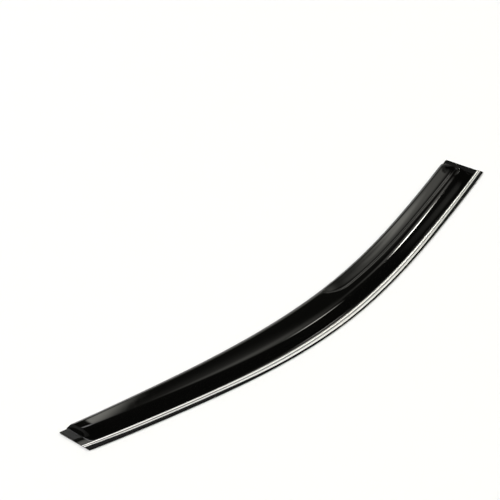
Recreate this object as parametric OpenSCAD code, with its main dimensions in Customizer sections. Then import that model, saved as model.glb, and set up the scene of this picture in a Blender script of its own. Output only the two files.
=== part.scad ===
// Window rain deflector for a front car door: a creased acrylic shell with a recessed vent,
// a bright trim strip on its flange, and foam tape with its release film behind.
// X runs along the door from front to rear, Y from the outer edge towards the glass edge,
// and Z out of the door. The seat is at Z = 0.

/* [Overall] */
// Straight length of the outer edge between its two ends
chord_l = 962; // [860:2:1060]
// Depth of the arc that the outer edge makes
bow_d = 87.7; // [60:0.1:100]
// Distance from the outer edge across to the free edge at mid length
reach_w = 76; // [72:1:90]
// Lean of the front end line from square, in degrees
front_lean = 21; // [12:1:26]
// Lean of the rear end line from square, in degrees
rear_lean = 25; // [12:1:28]

/* [Shell] */
// Thickness of the moulded acrylic
wall_t = 2.3; // [2:0.1:2.8]
// Flat flange, from the outer edge to the foot of the wall
flange_w = 15.5; // [15.5:0.5:18]
// Outer edge to the crease at the front end
crease_front_w = 32.5; // [29:0.5:35]
// Outer edge to the crease at mid length
crease_mid_w = 29.5; // [28:0.5:35]
// Outer edge to the crease at the rear end
crease_rear_w = 40.5; // [36:0.5:42]
// Height of the crease at the front end
crease_front_h = 20.5; // [18:0.5:26]
// Height of the crease at mid length
crease_mid_h = 21.5; // [18:0.5:26]
// Height of the crease at the rear end
crease_rear_h = 20.5; // [18:0.5:22]
// Rise of the face between crease and lip above a flat one
crown_h = 0.7; // [0:0.1:1.5]

/* [Lip] */
// Width of the rolled lip along the free edge
lip_w = 5.5; // [4.5:0.5:7]
// Height of the lip's crest at the front end
crest_front_h = 17; // [14:0.5:18]
// Height of the lip's crest at mid length
crest_mid_h = 18.5; // [15:0.5:19]
// Height of the lip's crest at the rear end
crest_rear_h = 13; // [12:0.5:16]
// Height of the free edge at the front end
edge_front_h = 9.7; // [8:0.1:12]
// Height of the free edge at mid length
edge_mid_h = 12.7; // [9:0.1:14]
// Height of the free edge at the rear end
edge_rear_h = 6.2; // [5.5:0.1:9]

/* [Vent] */
// Place of the front of the vent, along X from mid length
vent_x = 20; // [-60:2:80]
// Length of the vent's curved front corner
vent_turn_l = 54; // [40:2:80]
// Outer edge to the vent's boundary
vent_w = 47; // [45:0.5:50]
// How much wider that distance is at the vent's rear end
vent_spread_w = 2; // [0:0.5:3]
// Depth of the step down into the vent
vent_d = 4.5; // [2:0.5:5]
// Width of the step
step_w = 3.5; // [3:0.5:5]
// How much the face dips before the step
vent_dip = 2.6; // [0:0.1:3]
// How much the vent's floor is hollowed
hollow_d = 0.8; // [0:0.1:1.2]
// How much lower the free edge runs along the vent
edge_drop = 2; // [0:0.1:2]
// How much further out the free edge runs along the vent
edge_out = 1; // [0:0.1:2]
// Length over which the step fades in
step_fade_l = 6; // [4:1:12]
// Length over which the dip of the face fades in
dip_fade_l = 150; // [80:10:200]
// Length over which the free edge moves to its place along the vent
edge_fade_l = 16; // [10:1:40]
// Length over which the vent closes before the rear rim
vent_close_l = 3; // [2:0.5:10]

/* [Ends] */
// Length of the flat tab at the front
front_tab_l = 16.5; // [12:0.5:20]
// Length of the flat tab at the rear
rear_tab_l = 15; // [12:0.5:20]
// Length of the sloping wall behind the front tab
front_wall_l = 8; // [8:0.5:16]
// Length of the sloping wall before the rear tab
rear_wall_l = 10; // [8:0.5:18]
// Distance of the tabs' free edge inside the body's
tab_in = 1.5; // [0:0.5:3]
// Rounding of the tabs' free corners
tip_r = 2.4; // [2:0.1:3]
// Height of the raised pad on each tab
pad_h = 0.6; // [0.3:0.1:1]
// Margin between the pad and the free edge
pad_margin = 1.5; // [1:0.1:3]
// Outer edge to the groove on the front tab
groove_x = 22; // [20:0.5:24]
// Width of that groove
groove_w = 5.5; // [4:0.5:7]
// Depth of that groove
groove_d = 0.9; // [0.4:0.1:1.2]

/* [Trim] */
// Width of the bright trim strip
trim_w = 13; // [12:0.1:13.2]
// Thickness of its skirt outside the flange
skirt_t = 0.8; // [0.6:0.1:1.2]
// Height of its two beads above the flange
bead_h = 1.3; // [0.9:0.1:1.8]
// Height of the valley between the beads
valley_h = 0.6; // [0.3:0.1:0.8]
// Outer edge to the valley
valley_w = 8.8; // [8:0.1:9.6]

/* [Tape] */
// Number of tape lengths along the flange
tape_n = 5; // [3:1:7]
// Width of the tape
tape_w = 10; // [8:0.5:11]
// Thickness of the foam tape
tape_t = 1.1; // [0.8:0.1:1.5]
// Outer edge to the tape
tape_in = 2.5; // [2:0.1:3]
// Gap between two lengths of tape
tape_gap = 4; // [2:0.5:8]
// Thickness of the release film
film_t = 0.15; // [0.1:0.05:0.3]
// How far the film stands out past the tape
film_over = 0.6; // [0.2:0.1:1]
// Margin between a tab's tape and its free edge
tab_tape_margin = 3; // [2:0.5:6]

/* [Hidden] */
TAPES = [for (i = [1:tape_n]) str("flange_tape_", i)];
FILMS = [for (i = [1:tape_n]) str("flange_film_", i)];

tape_z = film_t;
back_z = film_t + tape_t;
flange_z = back_z + wall_t;
front_x = -chord_l / 2;
rear_x = chord_l / 2;

// How the arc falls off with the square, fourth and sixth power of the place along the chord
bow_shares = [1.467, -0.743, 0.276];
// Reach of the free edge at steps of an eighth of the chord, starting one step before the front end
reach_shares = [0.62, 0.735, 0.81, 0.888, 0.972, 1.014, 1.02, 1.03, 1.058, 1.10, 1.14];
// Part of each half over which the lean of the cross lines dies away
lean_start_share = 0.32;
lean_end_share = 0.86;
// Stations across an end wall, from its foot to its rim, in shares of its length
wall_shares = [-0.12, -0.05, 0.03, 0.12, 0.3, 0.5, 0.7, 0.88, 0.96, 1.05, 1.12];
wall_round_share = 0.12;
// Stations across a rounded tab corner, in shares of its radius
tip_shares = [0, 0.1, 0.35, 1];
// Stations along the vent's curved corner, in shares of its length
turn_shares = [0, 0.035, 0.08, 0.13, 0.19, 0.27, 0.37, 0.5, 0.65, 0.82, 1];
front_steps = 24;
rear_steps = 20;
close_steps = 4;

// Roundings along each profile corner: foot, crease, step top, step foot, lip crest
foot_r = 2.3;
crease_front_r = 4.5;
crease_mid_r = 5.5;
crease_rear_r = 18;
step_r = 1.7;
hollow_r = 3.2;
crest_r = 3.4;
// Largest share of a straight that each of them may take
round_shares = [0.2, 0.75, 0.45, 0.45, 0.45];
outer_steps = [3, 5, 2, 3, 4];
outer_fills = [0, 1, 3, 0, 3, 0];
inner_steps = [2, 3, 1, 1, 2];
inner_fills = [0, 0, 2, 0, 1, 0];
// Chamfer width of the pad and groove edges
pad_edge = 0.4;
// Rounding of the trim's beads
bead_edge = 0.9;
// Distance of the boundary from the lip's crest, at the vent's front and ahead of it
vent_margin = 4;
plain_margin = 10;
// Length over which the one becomes the other
margin_l = 30;
// How sharply the boundary turns at first, and how narrow the step starts
turn_power = 2.5;
step_start_share = 0.4;
// How much shorter the end walls are at the free edge than at the outer edge
front_taper_share = 0;
rear_taper_share = 0.5;
// Splits of each stretch of the tab's profile, outside and at the back
tab_splits = [5, 1, 4, 1, 1, 1, 13, 1, 3];
// Points of the trim's section that face the four points of its inner line
trim_pairs = [0, 2, 7, 12];

function mix(a, b, s) = a + (b - a) * s;
function clamp(s) = min(1, max(0, s));
function ease(s) = let (c = clamp(s)) c * c * (3 - 2 * c);
function unit(v) = v / norm(v);

// A straight slope from 0 to 1 with its two ends rounded
function slope(q) = let (r = wall_round_share)
    q <= -r ? 0 : q < r ? pow(q + r, 2) / (4 * r) :
    q < 1 - r ? q : q < 1 + r ? 1 - pow(1 + r - q, 2) / (4 * r) : 1;

// A smooth curve guided by equally spaced values, with s counted in steps
function guided(v, s) =
    let (i = min(len(v) - 3, max(1, floor(s))), u = s - i,
        a = v[i - 1], b = v[i], c = v[i + 1], d = v[i + 2])
    (pow(1 - u, 3) * a + (3 * u * u * u - 6 * u * u + 4) * b
        + (-3 * u * u * u + 3 * u * u + 3 * u + 1) * c + u * u * u * d) / 6;

// A height that passes through its front, middle and rear values, with t from -1 to 1
function through(front, mid, rear, t) = mid + (rear - front) / 2 * t + ((rear + front) / 2 - mid) * t * t;

function outer_y(x) = let (t = 2 * x / chord_l, q = t * t)
    -bow_d * (1 - bow_shares[0] * q - bow_shares[1] * q * q - bow_shares[2] * q * q * q);
function edge_w(x) = reach_w * guided(reach_shares, 8 * x / chord_l + 5);

// Lean of the cross line that starts at X on the outer edge
function lean(X) = let (s = (abs(X) * 2 / chord_l - lean_start_share) / (lean_end_share - lean_start_share))
    tan(X < 0 ? front_lean : rear_lean) * ease(s);
// Point in plan on the cross line of X, at w from the outer edge
function plan(X, w) =
    let (s = lean(X), x = X - s * (outer_y(X - s * w) + w - outer_y(X)))
    [x, outer_y(x) + w];

// Height of the body above the tabs at w from the outer edge, from 0 to 1
function body(X, w) = min(
    slope((X - front_x - front_tab_l) / (front_wall_l * (1 - front_taper_share * w / reach_w))),
    slope((rear_x - rear_tab_l - X) / (rear_wall_l * (1 - rear_taper_share * w / reach_w))));
// How far the vent's boundary has turned towards its full width
function turn(x) = 1 - pow(1 - clamp((x - vent_x) / vent_turn_l), turn_power);
vent_end = rear_x - rear_tab_l - rear_wall_l * (1 + wall_round_share);
// Strength of the vent at x, fading in over a length and closing before the rear end wall
function vent(x, X, fade_l) = ease((x - vent_x) / fade_l) * ease((vent_end - X) / vent_close_l);
// Rounding of the tabs' free corners
function tip_cut(X) = let (d = min(X - front_x, rear_x - X) / tip_r)
    d >= 1 ? 0 : tip_r * (1 - sqrt(1 - pow(1 - d, 2)));

// Corners of the outer profile at x, as distance from the outer edge and height
function corners(x, X) =
    let (t = 2 * x / chord_l, v = turn(x), a = vent(x, X, step_fade_l),
        dip = vent_dip * vent(x, X, dip_fade_l), drop = vent(x, X, edge_fade_l),
        crease = through(crease_front_w, crease_mid_w, crease_rear_w, t),
        edge = edge_w(x) + edge_out * drop, crest = edge - lip_w,
        margin = mix(plain_margin, vent_margin, ease((x - vent_x) / margin_l + 1)),
        wb = mix(crest - margin, vent_w + vent_spread_w * max(0, t), v),
        ws = wb + step_w * mix(step_start_share, 1, v),
        zk = through(crease_front_h, crease_mid_h, crease_rear_h, t),
        zc = through(crest_front_h, crest_mid_h, crest_rear_h, t),
        ze = through(edge_front_h, edge_mid_h, edge_rear_h, t) - edge_drop * drop,
        face = function (w) mix(zk, zc, (w - crease) / (crest - crease)),
        raw = [[skirt_t, flange_z], [flange_w, flange_z], [crease, zk], [wb, face(wb) - dip],
            [ws, face(ws) - dip - vent_d * a], [crest, zc], [edge, ze]])
    [for (c = raw) [c[0], mix(flange_z, c[1], body(X, c[0]))]];

// Roundings of those corners at x
function corner_rs(x) =
    [foot_r, through(crease_front_r, crease_mid_r, crease_rear_r, 2 * x / chord_l), step_r, hollow_r, crest_r];

// The same corners moved inwards by d
function inset(c, d) =
    let (n = [for (i = [1:len(c) - 1]) let (u = unit(c[i] - c[i - 1])) [u[1], -u[0]]], last = len(c) - 1)
    [for (i = [0:last]) i == 0 ? c[0] + n[0] * d : i == last ? c[i] + n[i - 1] * d :
        c[i] + (n[i - 1] + n[i]) * d / (1 + n[i - 1] * n[i])];

// A profile through corners, each rounded in steps, with fill points on the straights between them
function profile(c, rs, steps, fills) =
    let (last = len(c) - 1,
        cut = function (i, j) (i == 0 || i == last) ? c[i] :
            c[i] + unit(c[j] - c[i]) * min(rs[i - 1], round_shares[i - 1] * norm(c[j] - c[i])))
    [for (i = [0:last]) each concat(
        i == 0 ? [] : let (p = cut(i - 1, i), q = cut(i, i - 1))
            [for (k = [1:1:fills[i - 1]]) mix(p, q, k / (fills[i - 1] + 1))],
        (i == 0 || i == last) ? [c[i]] : let (p = cut(i, i - 1), q = cut(i, i + 1), n = steps[i - 1])
            [for (k = [0:n]) let (u = k / n) mix(mix(p, c[i], u), mix(c[i], q, u), u)])];

// Crown of the face and hollow of the vent, added to a profile's points
function shaped(pts, c, x, X) =
    let (a = vent(x, X, step_fade_l))
    [for (p = pts)
        let (s = clamp((p[0] - c[2][0]) / (c[5][0] - c[2][0])),
            v = clamp((p[0] - c[4][0]) / (c[5][0] - c[4][0])),
            rise = crown_h * 4 * s * (1 - s) - hollow_d * a * 4 * v * (1 - v))
        [p[0], p[1] + rise * body(X, p[0])]];

function outside(x, X) = let (c = corners(x, X))
    shaped(profile(c, corner_rs(x), outer_steps, outer_fills), c, x, X);
function inside(x, X) = let (c = corners(x, X))
    shaped(profile(inset(c, wall_t), corner_rs(x), inner_steps, inner_fills), c, x, X);

n_outer = len(outside(0, 0));
n_inner = len(inside(0, 0));

// Stretches split into equal pieces, as many as each count says
function split(c, counts) = concat([c[0]],
    [for (i = [0:len(counts) - 1], k = [1:1:counts[i]]) mix(c[i], c[i + 1], k / counts[i])]);

// Outer edge to a tab's free edge
function tab_w(X) = edge_w(plan(X, reach_w)[0]) - tab_in - tip_cut(X);
// Profile of a tab, with its pad and the groove, which stops just short of the tip
function tab_profile(X, pad) =
    let (front = X < 0, edge = tab_w(X),
        g0 = front ? groove_x : skirt_t + groove_w, g1 = front ? groove_x + groove_w : trim_w,
        dip = front && X > front_x ? groove_d : 0, top = flange_z + pad_h * pad)
    split([[skirt_t, flange_z], [g0, flange_z], [g0 + pad_edge, flange_z - dip],
        [g1 - pad_edge, flange_z - dip], [g1, flange_z], [g1 + pad_edge, flange_z],
        [g1 + 2 * pad_edge, top], [edge - pad_margin - pad_edge, top],
        [edge - pad_margin, flange_z], [edge, flange_z]], tab_splits);
function tab_back(X) = split([[skirt_t, back_z], [tab_w(X), back_z]], [n_inner - 1]);

function at(X, p) = let (q = plan(X, p[0])) [q[0], q[1], p[1]];
// A closed ring of the shell on the cross line of X
function body_ring(X) =
    let (o = outside(X, X), i = inside(X, X))
    concat([for (j = [0:n_outer - 1]) at(X, outside(plan(X, o[j][0])[0], X)[j])],
        [for (j = [n_inner - 1:-1:0]) at(X, inside(plan(X, i[j][0])[0], X)[j])]);
function tab_ring(X, pad) =
    let (b = tab_profile(X, pad), k = tab_back(X))
    concat([for (p = b) at(X, p)], [for (j = [n_inner - 1:-1:0]) at(X, k[j])]);

// A solid through rings of points, each along the outer line and back along the inner one
// Both ends close in small faces, and pairs holds the outer point that faces each inner one there
module loft(rings, pairs) {
    n = len(rings[0]);
    last = len(rings) - 1;
    end = last * n;
    polyhedron(
        points = [for (r = rings) each r],
        faces = concat(
            [for (m = [1:len(pairs) - 1])
                concat([n - m, n - m - 1], [for (j = [pairs[m]:-1:pairs[m - 1]]) j])],
            [for (m = [1:len(pairs) - 1])
                concat([end + n - m], [for (j = [pairs[m - 1]:pairs[m]]) end + j], [end + n - m - 1])],
            [for (i = [0:last - 1], j = [0:n - 1]) let (k = (j + 1) % n, a = i * n, b = a + n)
                each [[a + j, b + k, b + j], [a + j, a + k, b + k]]]),
        convexity = 8);
}

front_tips = [for (s = tip_shares) front_x + tip_r * s];
rear_tips = [for (s = tip_shares) rear_x - tip_r * s];
front_rim = front_x + front_tab_l + front_wall_l * (1 + wall_round_share);
turn_end = vent_x + vent_turn_l;
body_xs = concat(
    [for (s = wall_shares) front_x + front_tab_l + front_wall_l * s],
    [for (i = [1:front_steps - 1]) mix(front_rim, vent_x, i / front_steps)],
    [for (s = turn_shares) vent_x + vent_turn_l * s],
    [for (i = [1:rear_steps]) mix(turn_end, vent_end - vent_close_l, i / rear_steps)],
    [for (i = [1:close_steps - 1]) vent_end - vent_close_l * (1 - i / close_steps)],
    [for (i = [len(wall_shares) - 1:-1:0]) rear_x - rear_tab_l - rear_wall_l * wall_shares[i]]);
front_foot = body_xs[0];
rear_foot = body_xs[len(body_xs) - 1];
front_pad_xs = [front_x + tip_r + pad_edge, front_foot - 2 * pad_edge];
rear_pad_xs = [rear_foot + 2 * pad_edge, rear_x - tip_r - pad_edge];
front_tab_xs = concat(front_tips, front_pad_xs, [front_foot - pad_edge]);
rear_tab_xs = concat([rear_foot + pad_edge], rear_pad_xs, [for (i = [len(rear_tips) - 1:-1:0]) rear_tips[i]]);
// Whether a station lies on a pad
function on_pad(X) = len(search(X, concat(front_pad_xs, rear_pad_xs))) > 0 ? 1 : 0;

module visor_shell() {
    color("#1b1b1a")
    loft(concat(
        [for (X = front_tab_xs) tab_ring(X, on_pad(X))],
        [for (X = body_xs) body_ring(X)],
        [for (X = rear_tab_xs) tab_ring(X, on_pad(X))]),
        [for (m = [0:n_inner - 1]) round(m * (n_outer - 1) / (n_inner - 1))]);
}

// Section of the trim: skirt, outer bead, valley and inner bead
function trim_section() =
    let (z = flange_z, low = back_z, mid = (bead_h + valley_h) / 2)
    [[0, low], [0, z + valley_h / 2], [bead_edge / 2, z + mid], [bead_edge * 2, z + bead_h],
        [valley_w - bead_edge * 3, z + bead_h], [valley_w - bead_edge * 1.4, z + mid],
        [valley_w - bead_edge / 2, z + valley_h], [valley_w + bead_edge / 2, z + valley_h],
        [valley_w + bead_edge, z + mid], [valley_w + bead_edge * 1.8, z + bead_h],
        [trim_w - bead_edge * 1.4, z + bead_h], [trim_w - bead_edge / 2, z + mid],
        [trim_w, z + valley_h / 3], [trim_w, z], [valley_w, z], [skirt_t, z], [skirt_t, low]];

module chrome_trim() {
    color("#d8d8d6")
    loft([for (X = concat(front_tab_xs, body_xs, rear_tab_xs))
        [for (p = trim_section()) at(X, p)]], trim_pairs);
}

// A strip in plan between two cross lines and two distances from the outer edge
module strip(x0, x1, w0, w1, z, t, steps = 10) {
    translate([0, 0, z])
    linear_extrude(t)
    polygon(concat(
        [for (i = [0:steps]) plan(mix(x0, x1, i / steps), w0)],
        [for (i = [steps:-1:0]) plan(mix(x0, x1, i / steps), w1)]));
}

// Ends of tape length i along the outer edge
tape_span = chord_l - 2 * tip_r;
function tape_x0(i) = front_x + tip_r + (tape_span + tape_gap) / tape_n * (i - 1);
function tape_x1(i) = tape_x0(i + 1) - tape_gap;
// Place of the tab tapes, from the flange tape to the free edge and from the tab's end to its foot
tab_tape_w0 = tape_in + tape_w + tape_gap;
front_tape_w1 = tab_w(front_x + tip_r) - tab_tape_margin;
rear_tape_w1 = tab_w(rear_x - tip_r) - tab_tape_margin;
front_tape_xs = [front_x + tip_r, front_x + front_tab_l - pad_margin];
rear_tape_xs = [rear_x - rear_tab_l + pad_margin, rear_x - tip_r];

module flange_tape(i) {
    color("#3a3a3c")
    strip(tape_x0(i), tape_x1(i), tape_in, tape_in + tape_w, tape_z, tape_t);
}
module flange_film(i) {
    color("#b3261e")
    strip(tape_x0(i) - film_over, tape_x1(i) + film_over,
        tape_in - film_over, tape_in + tape_w + film_over, 0, film_t);
}
module tab_tape(xs, w1) {
    color("#3a3a3c")
    strip(xs[0], xs[1], tab_tape_w0, w1, tape_z, tape_t, 2);
}
module tab_film(xs, w1) {
    color("#b3261e")
    strip(xs[0] - film_over, xs[1] + film_over, tab_tape_w0 - film_over, w1 + film_over, 0, film_t, 2);
}
module front_tab_tape() { tab_tape(front_tape_xs, front_tape_w1); }
module rear_tab_tape() { tab_tape(rear_tape_xs, rear_tape_w1); }
module front_tab_film() { tab_film(front_tape_xs, front_tape_w1); }
module rear_tab_film() { tab_film(rear_tape_xs, rear_tape_w1); }

// The model is centred on its own outline in plan
function rim_w(x, X) = outside(x, X)[n_outer - 1][0];
function edge_point(X) = plan(X, rim_w(plan(X, rim_w(X, X))[0], X));
tip_xs = concat(front_tips, rear_tips);
rim_pts = concat([for (X = concat(tip_xs, body_xs)) plan(X, 0)], [for (X = tip_xs) plan(X, tab_w(X))],
    [for (X = body_xs) edge_point(X)]);
centre = [(min([for (p = rim_pts) p[0]]) + max([for (p = rim_pts) p[0]])) / 2,
    (min([for (p = rim_pts) p[1]]) + max([for (p = rim_pts) p[1]])) / 2, 0];

translate(-centre) visor_shell();
translate(-centre) chrome_trim();
for (i = [1:tape_n]) translate(-centre) flange_tape(i);
translate(-centre) front_tab_tape();
translate(-centre) rear_tab_tape();
for (i = [1:tape_n]) translate(-centre) flange_film(i);
translate(-centre) front_tab_film();
translate(-centre) rear_tab_film();
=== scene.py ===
# A window rain deflector in smoke-black acrylic, with a bright trim strip and foam tape,
# lying on a pale studio floor. Everything is in metres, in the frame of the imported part.
from math import cos, pi, radians, sin, sqrt

import bmesh
import bpy
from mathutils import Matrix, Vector


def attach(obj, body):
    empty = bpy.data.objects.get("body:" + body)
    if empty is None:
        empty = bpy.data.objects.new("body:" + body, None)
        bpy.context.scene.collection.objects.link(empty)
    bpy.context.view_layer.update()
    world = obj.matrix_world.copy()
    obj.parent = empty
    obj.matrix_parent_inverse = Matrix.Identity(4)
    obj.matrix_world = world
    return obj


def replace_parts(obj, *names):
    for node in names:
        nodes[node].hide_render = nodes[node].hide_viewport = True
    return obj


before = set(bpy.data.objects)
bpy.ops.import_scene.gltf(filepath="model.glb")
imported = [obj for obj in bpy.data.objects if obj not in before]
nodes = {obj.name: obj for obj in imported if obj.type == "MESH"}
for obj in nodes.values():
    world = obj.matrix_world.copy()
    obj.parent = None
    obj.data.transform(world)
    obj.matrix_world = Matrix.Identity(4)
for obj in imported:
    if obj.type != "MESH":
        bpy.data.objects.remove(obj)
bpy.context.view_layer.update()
scene = bpy.context.scene
mm = 0.001
print("frame loaded:", len(nodes), "nodes")


def fromHex(code):
    # sRGB hex to the linear colour that a shader takes
    parts = [int(code[i:i + 2], 16) / 255 for i in (1, 3, 5)]
    return [p / 12.92 if p <= 0.04045 else ((p + 0.055) / 1.055) ** 2.4 for p in parts] + [1]


def addNode(tree, kind, settings=None, values=None, links=None):
    # one node, with its settings, its socket values and what is plugged into it
    node = tree.nodes.new(kind)
    for name, value in (settings or {}).items():
        setattr(node, name, value)
    for name, value in (values or {}).items():
        node.inputs[name].default_value = value
    for name, source in (links or {}).items():
        tree.links.new(source, node.inputs[name])
    return node


def shareOf(value, ends):
    # how far a value has come from one end to the other, from 0 to 1
    low, high = ends
    return min(1, max(0, (value - low) / (high - low)))


def newMaterial(name):
    material = bpy.data.materials.new(name)
    material.use_nodes = True
    material.node_tree.nodes.clear()
    return material, material.node_tree


# Shell: polymethyl methacrylate dyed smoke black, moulded against a polished tool.
# It looks like black glass: deep colour, sharp reflections that swim a little, faint wipe marks.
acrylic = {
    "colour": "#070706",
    "ior": 1.49,
    "roughness": (0.03, 0.09),
    "wipeMark": 9 * mm,
    "wipeRange": (0.35, 0.75),
    "swim": 45 * mm,
    "swimHeight": 0.02 * mm,
    "swimStrength": 0.6,
    # specular level of the polished skin and of the skin where the reflection is turned down to paint
    # shade
    "specular": (0.5, 0.01),
}


def makeAcrylic():
    material, tree = newMaterial("smokedAcrylicMoulded")
    place = addNode(tree, "ShaderNodeTexCoord").outputs["Object"]
    wipe = addNode(tree, "ShaderNodeTexNoise", None,
                   {"Scale": 1 / acrylic["wipeMark"], "Detail": 5, "Roughness": 0.6}, {"Vector": place})
    wipeLow, wipeHigh = acrylic["wipeRange"]
    smooth, smeared = acrylic["roughness"]
    gloss = addNode(tree, "ShaderNodeMapRange", None,
                    {"From Min": wipeLow, "From Max": wipeHigh, "To Min": smooth, "To Max": smeared},
                    {"Value": wipe.outputs["Fac"]})
    swim = addNode(tree, "ShaderNodeTexNoise", None,
                   {"Scale": 1 / acrylic["swim"], "Detail": 1}, {"Vector": place})
    wave = addNode(tree, "ShaderNodeBump", None,
                   {"Strength": acrylic["swimStrength"], "Distance": acrylic["swimHeight"]},
                   {"Height": swim.outputs["Fac"]})
    # the mask turns the reflection down to paint shade where the part shows dark
    shadeMask = addNode(tree, "ShaderNodeAttribute", {"attribute_name": "paintedShadeSkin"})
    polished, shadedLevel = acrylic["specular"]
    level = addNode(tree, "ShaderNodeMapRange", None, {"To Min": polished, "To Max": shadedLevel},
                    {"Value": shadeMask.outputs["Fac"]})
    shader = addNode(tree, "ShaderNodeBsdfPrincipled", None,
                     {"Base Color": fromHex(acrylic["colour"]), "IOR": acrylic["ior"]},
                     {"Roughness": gloss.outputs["Result"], "Normal": wave.outputs["Normal"],
                      "Specular IOR Level": level.outputs["Result"]})
    addNode(tree, "ShaderNodeOutputMaterial", None, None, {"Surface": shader.outputs["BSDF"]})
    return material


# Pads on the tabs: the same acrylic moulded against a spark-eroded tool, so it is dull and
# grainy and reads as dark grey beside the gloss. The grain is drawn three times too coarse to show.
padGrain = {
    "colour": "#0e0e0e",
    "roughness": (0.28, 0.48),
    "grain": 0.9 * mm,
    "grainHeight": 0.06 * mm,
    "grainStrength": 0.7,
    # specular level of the front pad and of the rear one, which shows darker: its reflection is turned
    # down as painted shade
    "specular": (0.32, 0.08),
}


def makePadGrain():
    material, tree = newMaterial("smokedAcrylicGrained")
    place = addNode(tree, "ShaderNodeTexCoord").outputs["Object"]
    grain = addNode(tree, "ShaderNodeTexNoise", None,
                    {"Scale": 1 / padGrain["grain"], "Detail": 3, "Roughness": 0.7}, {"Vector": place})
    fine, coarse = padGrain["roughness"]
    gloss = addNode(tree, "ShaderNodeMapRange", None, {"To Min": fine, "To Max": coarse},
                    {"Value": grain.outputs["Fac"]})
    bump = addNode(tree, "ShaderNodeBump", None,
                   {"Strength": padGrain["grainStrength"], "Distance": padGrain["grainHeight"]},
                   {"Height": grain.outputs["Fac"]})
    # the same mask turns the rear pad's reflection down as painted shade
    shadeMask = addNode(tree, "ShaderNodeAttribute", {"attribute_name": "paintedShadeSkin"})
    front, rear = padGrain["specular"]
    level = addNode(tree, "ShaderNodeMapRange", None, {"To Min": front, "To Max": rear},
                    {"Value": shadeMask.outputs["Fac"]})
    shader = addNode(tree, "ShaderNodeBsdfPrincipled", None,
                     {"Base Color": fromHex(padGrain["colour"]), "IOR": acrylic["ior"]},
                     {"Roughness": gloss.outputs["Result"], "Normal": bump.outputs["Normal"],
                      "Specular IOR Level": level.outputs["Result"]})
    addNode(tree, "ShaderNodeOutputMaterial", None, None, {"Surface": shader.outputs["BSDF"]})
    return material


# Trim: stainless steel strip, roll-formed and satin-polished along its length, on a carrier of
# extruded black rubber. The satin spreads the studio to an even white. The dark lines along it are
# painted: painted reflection along the middle and painted shade at the inner edge beside the shell's
# wall. The rubber closes the strip with a black line along its outer edge, widened with painted shade
# towards the ends.
steel = {
    "colour": "#f4f3f0",
    "rubber": "#0a0a0a",
    "roughness": (0.42, 0.52),
    "rubberRoughness": 0.6,
    "rubberSpecular": 0.12,
    "lineWidth": 0.35 * mm,
    "lineLength": 60 * mm,
    "lineHeight": 0.004 * mm,
    "lineStrength": 0.4,
    "lineRange": (0.3, 0.7),
    # painted dark lines on the metal, painted reflection along the middle and painted shade at the inner
    # edge beside the shell's wall: from, to and tone, in shares of its width from the rubber inwards
    "shadeLines": ((0.36, 0.5, 0.12), (0.8, 1, 0.1)),
    "fade": 0.02,
}


def makeSteel():
    material, tree = newMaterial("stainlessSteelRolled")
    along = addNode(tree, "ShaderNodeUVMap", {"uv_map": "alongStrip"}).outputs["UV"]
    stretch = addNode(tree, "ShaderNodeMapping", None,
                      {"Scale": (1 / steel["lineLength"], 1 / steel["lineWidth"], 1)}, {"Vector": along})
    lines = addNode(tree, "ShaderNodeTexNoise", None,
                    {"Scale": 1, "Detail": 3, "Roughness": 0.6}, {"Vector": stretch.outputs["Vector"]})
    bump = addNode(tree, "ShaderNodeBump", None,
                   {"Strength": steel["lineStrength"], "Distance": steel["lineHeight"]},
                   {"Height": lines.outputs["Fac"]})
    # how much of the metal shows, from the inner edge of the black band, the rubber with painted shade
    # beside it, to the strip's
    across = addNode(tree, "ShaderNodeSeparateXYZ", None, None, {"Vector": along})
    rubber = addNode(tree, "ShaderNodeAttribute", {"attribute_name": "rubberWidth"})
    share = addNode(tree, "ShaderNodeMapRange", None, {"From Max": trim["width"]},
                    {"Value": across.outputs["Y"], "From Min": rubber.outputs["Fac"]})
    bright = addNode(tree, "ShaderNodeValToRGB", None, None, {"Fac": share.outputs["Result"]})
    stops = [(steel["fade"], 1)]
    for low, high, tone in steel["shadeLines"]:
        stops += [(low - steel["fade"], 1), (low, tone), (high, tone), (high + steel["fade"], 1)]
    ramp = bright.color_ramp
    ramp.elements[0].color = (0, 0, 0, 1)
    ramp.elements[1].color = (tone, tone, tone, 1)
    for place, tone in stops[:-2]:
        ramp.elements.new(place).color = (tone, tone, tone, 1)
    metal = bright.outputs["Color"]
    colour = addNode(tree, "ShaderNodeMix", {"data_type": "RGBA"}, None, {"Factor": metal})
    colour.inputs["A"].default_value = fromHex(steel["rubber"])
    colour.inputs["B"].default_value = fromHex(steel["colour"])
    lineLow, lineHigh = steel["lineRange"]
    fine, coarse = steel["roughness"]
    satin = addNode(tree, "ShaderNodeMapRange", None,
                    {"From Min": lineLow, "From Max": lineHigh, "To Min": fine, "To Max": coarse},
                    {"Value": lines.outputs["Fac"]})
    gloss = addNode(tree, "ShaderNodeMix", {"data_type": "FLOAT"}, {"A": steel["rubberRoughness"]},
                    {"Factor": metal, "B": satin.outputs["Result"]})
    shader = addNode(tree, "ShaderNodeBsdfPrincipled", None,
                     {"Specular IOR Level": steel["rubberSpecular"]},
                     {"Base Color": colour.outputs["Result"], "Metallic": metal,
                      "Roughness": gloss.outputs["Result"], "Normal": bump.outputs["Normal"]})
    addNode(tree, "ShaderNodeOutputMaterial", None, None, {"Surface": shader.outputs["BSDF"]})
    return material


# Tape: closed-cell acrylic foam, cast in a web. Dull, dark grey, with cells that pit its cut sides.
foam = {
    "colour": "#2b2b2d",
    "light": "#39393b",
    "ior": 1.47,
    "roughness": 0.92,
    "cell": 0.5 * mm,
    "cellDepth": 0.08 * mm,
    "cellStrength": 0.8,
}


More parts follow.
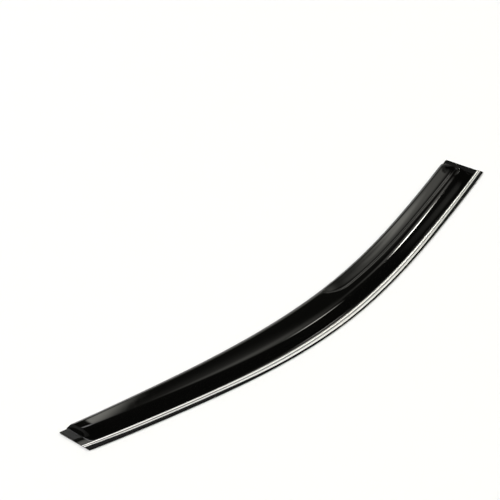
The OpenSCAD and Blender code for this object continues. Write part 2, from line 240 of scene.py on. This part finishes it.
def makeFoam():
    material, tree = newMaterial("acrylicFoamCast")
    place = addNode(tree, "ShaderNodeTexCoord").outputs["Object"]
    cells = addNode(tree, "ShaderNodeTexVoronoi", None, {"Scale": 1 / foam["cell"]}, {"Vector": place})
    tone = addNode(tree, "ShaderNodeMix", {"data_type": "RGBA"},
                   {"A": fromHex(foam["colour"]), "B": fromHex(foam["light"])},
                   {"Factor": cells.outputs["Distance"]})
    bump = addNode(tree, "ShaderNodeBump", None,
                   {"Strength": foam["cellStrength"], "Distance": foam["cellDepth"]},
                   {"Height": cells.outputs["Distance"]})
    shader = addNode(tree, "ShaderNodeBsdfPrincipled", None,
                     {"Roughness": foam["roughness"], "IOR": foam["ior"]},
                     {"Base Color": tone.outputs["Result"], "Normal": bump.outputs["Normal"]})
    addNode(tree, "ShaderNodeOutputMaterial", None, None, {"Surface": shader.outputs["BSDF"]})
    return material


# Release film: red polyethylene, blown and embossed. Waxy sheen over a low diamond relief.
film = {
    "colour": "#a8231c",
    "ior": 1.51,
    "roughness": (0.42, 0.28),
    "diamond": 3 * mm,
    "turns": (30, -30),
    # the wave texture repeats every 0.31 units at a scale of one
    "wavePeriod": 0.31,
    "relief": 0.03 * mm,
    "reliefStrength": 0.6,
}


def makeFilm():
    material, tree = newMaterial("polyethyleneFilmEmbossed")
    place = addNode(tree, "ShaderNodeTexCoord").outputs["Object"]
    bands = []
    for turn in film["turns"]:
        aim = addNode(tree, "ShaderNodeMapping", None,
                      {"Rotation": (0, 0, radians(turn))}, {"Vector": place})
        bands.append(addNode(tree, "ShaderNodeTexWave", None,
                             {"Scale": film["wavePeriod"] / film["diamond"]},
                             {"Vector": aim.outputs["Vector"]}))
    relief = addNode(tree, "ShaderNodeMath", {"operation": "MAXIMUM"})
    for i, band in enumerate(bands):
        tree.links.new(band.outputs["Fac"], relief.inputs[i])
    hollow, crown = film["roughness"]
    gloss = addNode(tree, "ShaderNodeMapRange", None, {"To Min": hollow, "To Max": crown},
                    {"Value": relief.outputs["Value"]})
    bump = addNode(tree, "ShaderNodeBump", None,
                   {"Strength": film["reliefStrength"], "Distance": film["relief"]},
                   {"Height": relief.outputs["Value"]})
    shader = addNode(tree, "ShaderNodeBsdfPrincipled", None,
                     {"Base Color": fromHex(film["colour"]), "IOR": film["ior"]},
                     {"Roughness": gloss.outputs["Result"], "Normal": bump.outputs["Normal"]})
    addNode(tree, "ShaderNodeOutputMaterial", None, None, {"Surface": shader.outputs["BSDF"]})
    return material


# Shell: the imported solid's own skin, merged and smooth-shaded, so that reflections run on across
# it and break only at its true edges
shell = {
    "node": "visor_shell",
    "sharpAngle": 32,
    "padTop": 4.15 * mm,
    "padSlack": 0.06 * mm,
    "padFlatness": 0.99,
    # where the reflection is turned down to paint shade: slopes as shares of the normal, places in the
    # part's frame
    "shadeShare": 0.9,
    "endFrom": 428 * mm,
    "endSlope": (0.05, 0.2),
    "grooveTop": 3 * mm,
    "backTop": 1.6 * mm,
    "lipSlope": (0.45, 0.8),
    "ridgeEnd": (418 * mm, 426 * mm),
    "ridgeInner": 37 * mm,
    "footTop": 6 * mm,
    "footFrom": (120 * mm, 180 * mm),
}
trim = {
    "node": "chrome_trim",
    "sharpAngle": 50,
    "width": 13 * mm,
    "steepest": 0.8,
    # millimetres along the strip, and how wide the black band shows there: the rubber, with painted
    # shade that widens it towards the ends
    "rubber": ((-492, 7.2), (-400, 5), (-240, 4.4), (-130, 2.2), (40, 1.5), (240, 2.4), (320, 3.6),
               (400, 5), (492, 5.4)),
}


# corners closer than this are one corner
weld = 0.002 * mm


def mergedSkin(name, source, sharpAngle):
    # a merged copy of a node's loose triangles, smooth but for the edges over the angle
    mesh = nodes[source].data.copy()
    mesh.name = name
    skin = bmesh.new()
    skin.from_mesh(mesh)
    bmesh.ops.remove_doubles(skin, verts=skin.verts, dist=weld)
    for face in skin.faces:
        face.smooth = True
    for edge in skin.edges:
        edge.smooth = edge.calc_face_angle(pi) < radians(sharpAngle)
    skin.to_mesh(mesh)
    skin.free()
    mesh.materials.clear()
    piece = bpy.data.objects.new(name, mesh)
    scene.collection.objects.link(piece)
    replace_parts(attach(piece, "root"), source)
    return piece


def makeShell():
    piece = mergedSkin("moulded_shell", shell["node"], shell["sharpAngle"])
    piece.data.materials.append(makeAcrylic())
    piece.data.materials.append(makePadGrain())
    pads = []
    for face in piece.data.polygons:
        off = abs(face.center.z - shell["padTop"])
        if face.normal.z > shell["padFlatness"] and off < shell["padSlack"]:
            face.material_index = 1
            pads.append(face)
    frontPad = {corner for face in pads if face.center.x < 0 for corner in face.vertices}
    # mask of painted shade, where the skin mirrors less than the polished acrylic: faces that look
    # along the strip at its ends, the back of the lip, the rear end of the ridge, the wall's foot and
    # the pad at the rear, and the front tab's groove, but not the front pad
    mask = piece.data.attributes.new("paintedShadeSkin", "FLOAT", "POINT")
    for vertex, cell in zip(piece.data.vertices, mask.data):
        x, y, z = vertex.co
        facing = abs(vertex.normal.x) if abs(x) > shell["endFrom"] else 0
        shares = [shell["shadeShare"] * shareOf(facing, shell["endSlope"]),
                  shell["shadeShare"] * shareOf(vertex.normal.y, shell["lipSlope"])]
        if y < shell["ridgeInner"]:
            shares.append(shareOf(x, shell["ridgeEnd"]))
        if z < shell["footTop"]:
            shares.append(shareOf(x, shell["footFrom"]))
        if x < -shell["endFrom"] and shell["backTop"] < z < shell["grooveTop"]:
            shares.append(1)
        cell.value = 0 if vertex.index in frontPad else max(shares)
    print("shell:", len(piece.data.polygons), "faces,", len(pads), "on the pads")
    return piece


def makeTrim():
    piece = mergedSkin("bright_trim_strip", trim["node"], trim["sharpAngle"])
    mesh = piece.data
    mesh.materials.append(makeSteel())
    # the strip's outer edge in plan, from end to end: it bows outwards all along, so it is the
    # lower hull of the vertices, less what runs across the ends
    edge = []
    for x, y in sorted((v.co.x, v.co.y) for v in mesh.vertices):
        while len(edge) > 1:
            (x0, y0), (x1, y1) = edge[-2:]
            if (x1 - x0) * (y - y0) > (y1 - y0) * (x - x0):
                break
            edge.pop()
        edge.append((x, y))
    runs = [(a, b) for a, b in zip(edge, edge[1:])
            if abs(b[1] - a[1]) < trim["steepest"] * (b[0] - a[0])]

    def acrossAt(place):
        # distance of a point from the outer edge, square to it
        (x0, y0), (x1, y1) = next((run for run in runs if place.x <= run[1][0]), runs[-1])
        rise = (y1 - y0) / (x1 - x0)
        return max(0, place.y - y0 - rise * (place.x - x0)) / sqrt(1 + rise * rise)

    across = [acrossAt(v.co) for v in mesh.vertices]
    layer = mesh.uv_layers.new(name="alongStrip")
    for loop in mesh.loops:
        layer.data[loop.index].uv = (mesh.vertices[loop.vertex_index].co.x, across[loop.vertex_index])
    # the black band's width at each vertex: the rubber and the painted shade beside it
    rubber = mesh.attributes.new("rubberWidth", "FLOAT", "POINT")
    for vertex, cell in zip(mesh.vertices, rubber.data):
        x = vertex.co.x / mm
        for (x0, width0), (x1, width1) in zip(trim["rubber"], trim["rubber"][1:]):
            if x0 <= x <= x1:
                cell.value = (width0 + (width1 - width0) * (x - x0) / (x1 - x0)) * mm
    print("trim:", len(mesh.polygons), "faces")
    return piece


makeShell()
makeTrim()
dressing = {"tape": makeFoam(), "film": makeFilm()}
for name, node in nodes.items():
    for kind, material in dressing.items():
        if kind in name.split("_"):
            node.data.materials.clear()
            node.data.materials.append(material)
print("tapes and films dressed")


# Studio: a matt white floor, and softboxes placed by the direction they are seen in from the part
floor = {
    "size": 9,
    "drop": 0.05 * mm,
    "colour": "#f2f2f2",
    "roughness": 0.95,
    "fibre": mm / 0.9,
    "fibreHeight": 0.02 * mm,
    "fibreStrength": 0.1,
}


def makeFloor():
    mesh = bpy.data.meshes.new("studio_floor")
    sheet = bmesh.new()
    bmesh.ops.create_grid(sheet, x_segments=2, y_segments=2, size=floor["size"] / 2)
    bmesh.ops.translate(sheet, verts=sheet.verts, vec=(0, 0, -floor["drop"]))
    sheet.to_mesh(mesh)
    sheet.free()
    material, tree = newMaterial("paperMattWhite")
    place = addNode(tree, "ShaderNodeTexCoord").outputs["Object"]
    fibre = addNode(tree, "ShaderNodeTexNoise", None,
                    {"Scale": 1 / floor["fibre"], "Detail": 2}, {"Vector": place})
    bump = addNode(tree, "ShaderNodeBump", None,
                   {"Strength": floor["fibreStrength"], "Distance": floor["fibreHeight"]},
                   {"Height": fibre.outputs["Fac"]})
    shader = addNode(tree, "ShaderNodeBsdfPrincipled", None,
                     {"Base Color": fromHex(floor["colour"]), "Roughness": floor["roughness"],
                      "Specular IOR Level": 0},
                     {"Normal": bump.outputs["Normal"]})
    addNode(tree, "ShaderNodeOutputMaterial", None, None, {"Surface": shader.outputs["BSDF"]})
    mesh.materials.append(material)
    sheetObject = bpy.data.objects.new("studio_floor", mesh)
    scene.collection.objects.link(sheetObject)


# name: heading from +X, height above the floor, half width and half height as seen from the part,
# all in degrees, and radiance in the middle, from which each front fades to its rim
softboxes = {
    "key": (-55, 50, 7.5, 9.5, 15),
    "overhead": (1, 72, 46, 12, 0.9),
    "streak": (-8, 50.4, 7, 3.2, 90),
    "vent": (6, 53, 7, 6.5, 2.3),
    "ventBroad": (17, 51, 17, 14, 1.3),
    "back": (48, 63, 10, 9.5, 0.7),
    "rim": (75.5, 44, 3.5, 42, 3.6),
    "low": (50, 20, 38, 20, 1.1),
    "side": (-23, 14, 24, 16, 0.6),
    "horizon": (65, 8, 12, 9, 2),
    "zenith": (128, 72, 24, 15, 10.8),
    "fill": (160, 48, 34, 26, 8.6),
}
boxDistance = 40
boxTint = "#fffef4"
# these two light the floor, and stay neutral
neutralBoxes = ("zenith", "fill")


def makeLights():
    for name, (heading, height, halfWidth, halfTall, radiance) in softboxes.items():
        light = bpy.data.lights.new(name, "AREA")
        light.shape = "RECTANGLE"
        if name not in neutralBoxes:
            light.color = fromHex(boxTint)[:3]
        light.size = 2 * boxDistance * radians(halfWidth)
        light.size_y = 2 * boxDistance * radians(halfTall)
        light.energy = radiance * pi * light.size * light.size_y
        light.use_nodes = True
        tree = light.node_tree
        tree.nodes.clear()
        # full in the middle, where both coordinates are a half, and nothing at the rim
        spot = addNode(tree, "ShaderNodeNewGeometry").outputs["Parametric"]
        off = addNode(tree, "ShaderNodeVectorMath", {"operation": "DISTANCE"},
                      {1: (0.5, 0.5, 0)}, {0: spot})
        glow = addNode(tree, "ShaderNodeMapRange", {"interpolation_type": "SMOOTHSTEP"},
                       {"From Min": 0.5, "From Max": 0}, {"Value": off.outputs["Value"]})
        cloth = addNode(tree, "ShaderNodeEmission", None, None, {"Strength": glow.outputs["Result"]})
        addNode(tree, "ShaderNodeOutputLight", None, None, {"Surface": cloth.outputs["Emission"]})
        lamp = bpy.data.objects.new(name, light)
        way = Vector((cos(radians(height)) * cos(radians(heading)),
                      cos(radians(height)) * sin(radians(heading)), sin(radians(height))))
        lamp.location = way * boxDistance
        lamp.rotation_euler = way.to_track_quat("Z", "Y").to_euler()
        scene.collection.objects.link(lamp)


# Room beyond the lights: nearly dark where the part mirrors it, white behind the floor
room = {
    "wall": "#e8e8e8",
    "wallStrength": 0.02,
    "backdrop": "#ffffff",
    "backdropStrength": 1,
}


def makeRoom():
    world = bpy.data.worlds.new("studio")
    scene.world = world
    world.use_nodes = True
    tree = world.node_tree
    tree.nodes.clear()
    wall = addNode(tree, "ShaderNodeBackground", None,
                   {"Color": fromHex(room["wall"]), "Strength": room["wallStrength"]})
    backdrop = addNode(tree, "ShaderNodeBackground", None,
                       {"Color": fromHex(room["backdrop"]), "Strength": room["backdropStrength"]})
    ray = addNode(tree, "ShaderNodeLightPath")
    both = addNode(tree, "ShaderNodeMixShader", None, None,
                   {0: ray.outputs["Is Camera Ray"], 1: wall.outputs["Background"],
                    2: backdrop.outputs["Background"]})
    addNode(tree, "ShaderNodeOutputWorld", None, None, {"Surface": both.outputs["Shader"]})


camera = {
    "place": (-0.66146, -0.64175, 1.39499),
    "turn": (36.6637, 0, -39.362),
    "lens": 64.95,
    "sensor": 36,
    "clip": (0.05, 50),
    "shift": (0.0012, -0.0008),
}


def makeCamera():
    data = bpy.data.cameras.new("studioCamera")
    data.sensor_width = camera["sensor"]
    data.lens = camera["lens"]
    data.shift_x, data.shift_y = camera["shift"]
    data.clip_start, data.clip_end = camera["clip"]
    viewer = bpy.data.objects.new("studioCamera", data)
    viewer.location = camera["place"]
    viewer.rotation_euler = [radians(a) for a in camera["turn"]]
    scene.collection.objects.link(viewer)
    scene.camera = viewer


makeFloor()
makeLights()
makeRoom()
makeCamera()
scene.view_settings.view_transform = "Standard"
print("studio set")
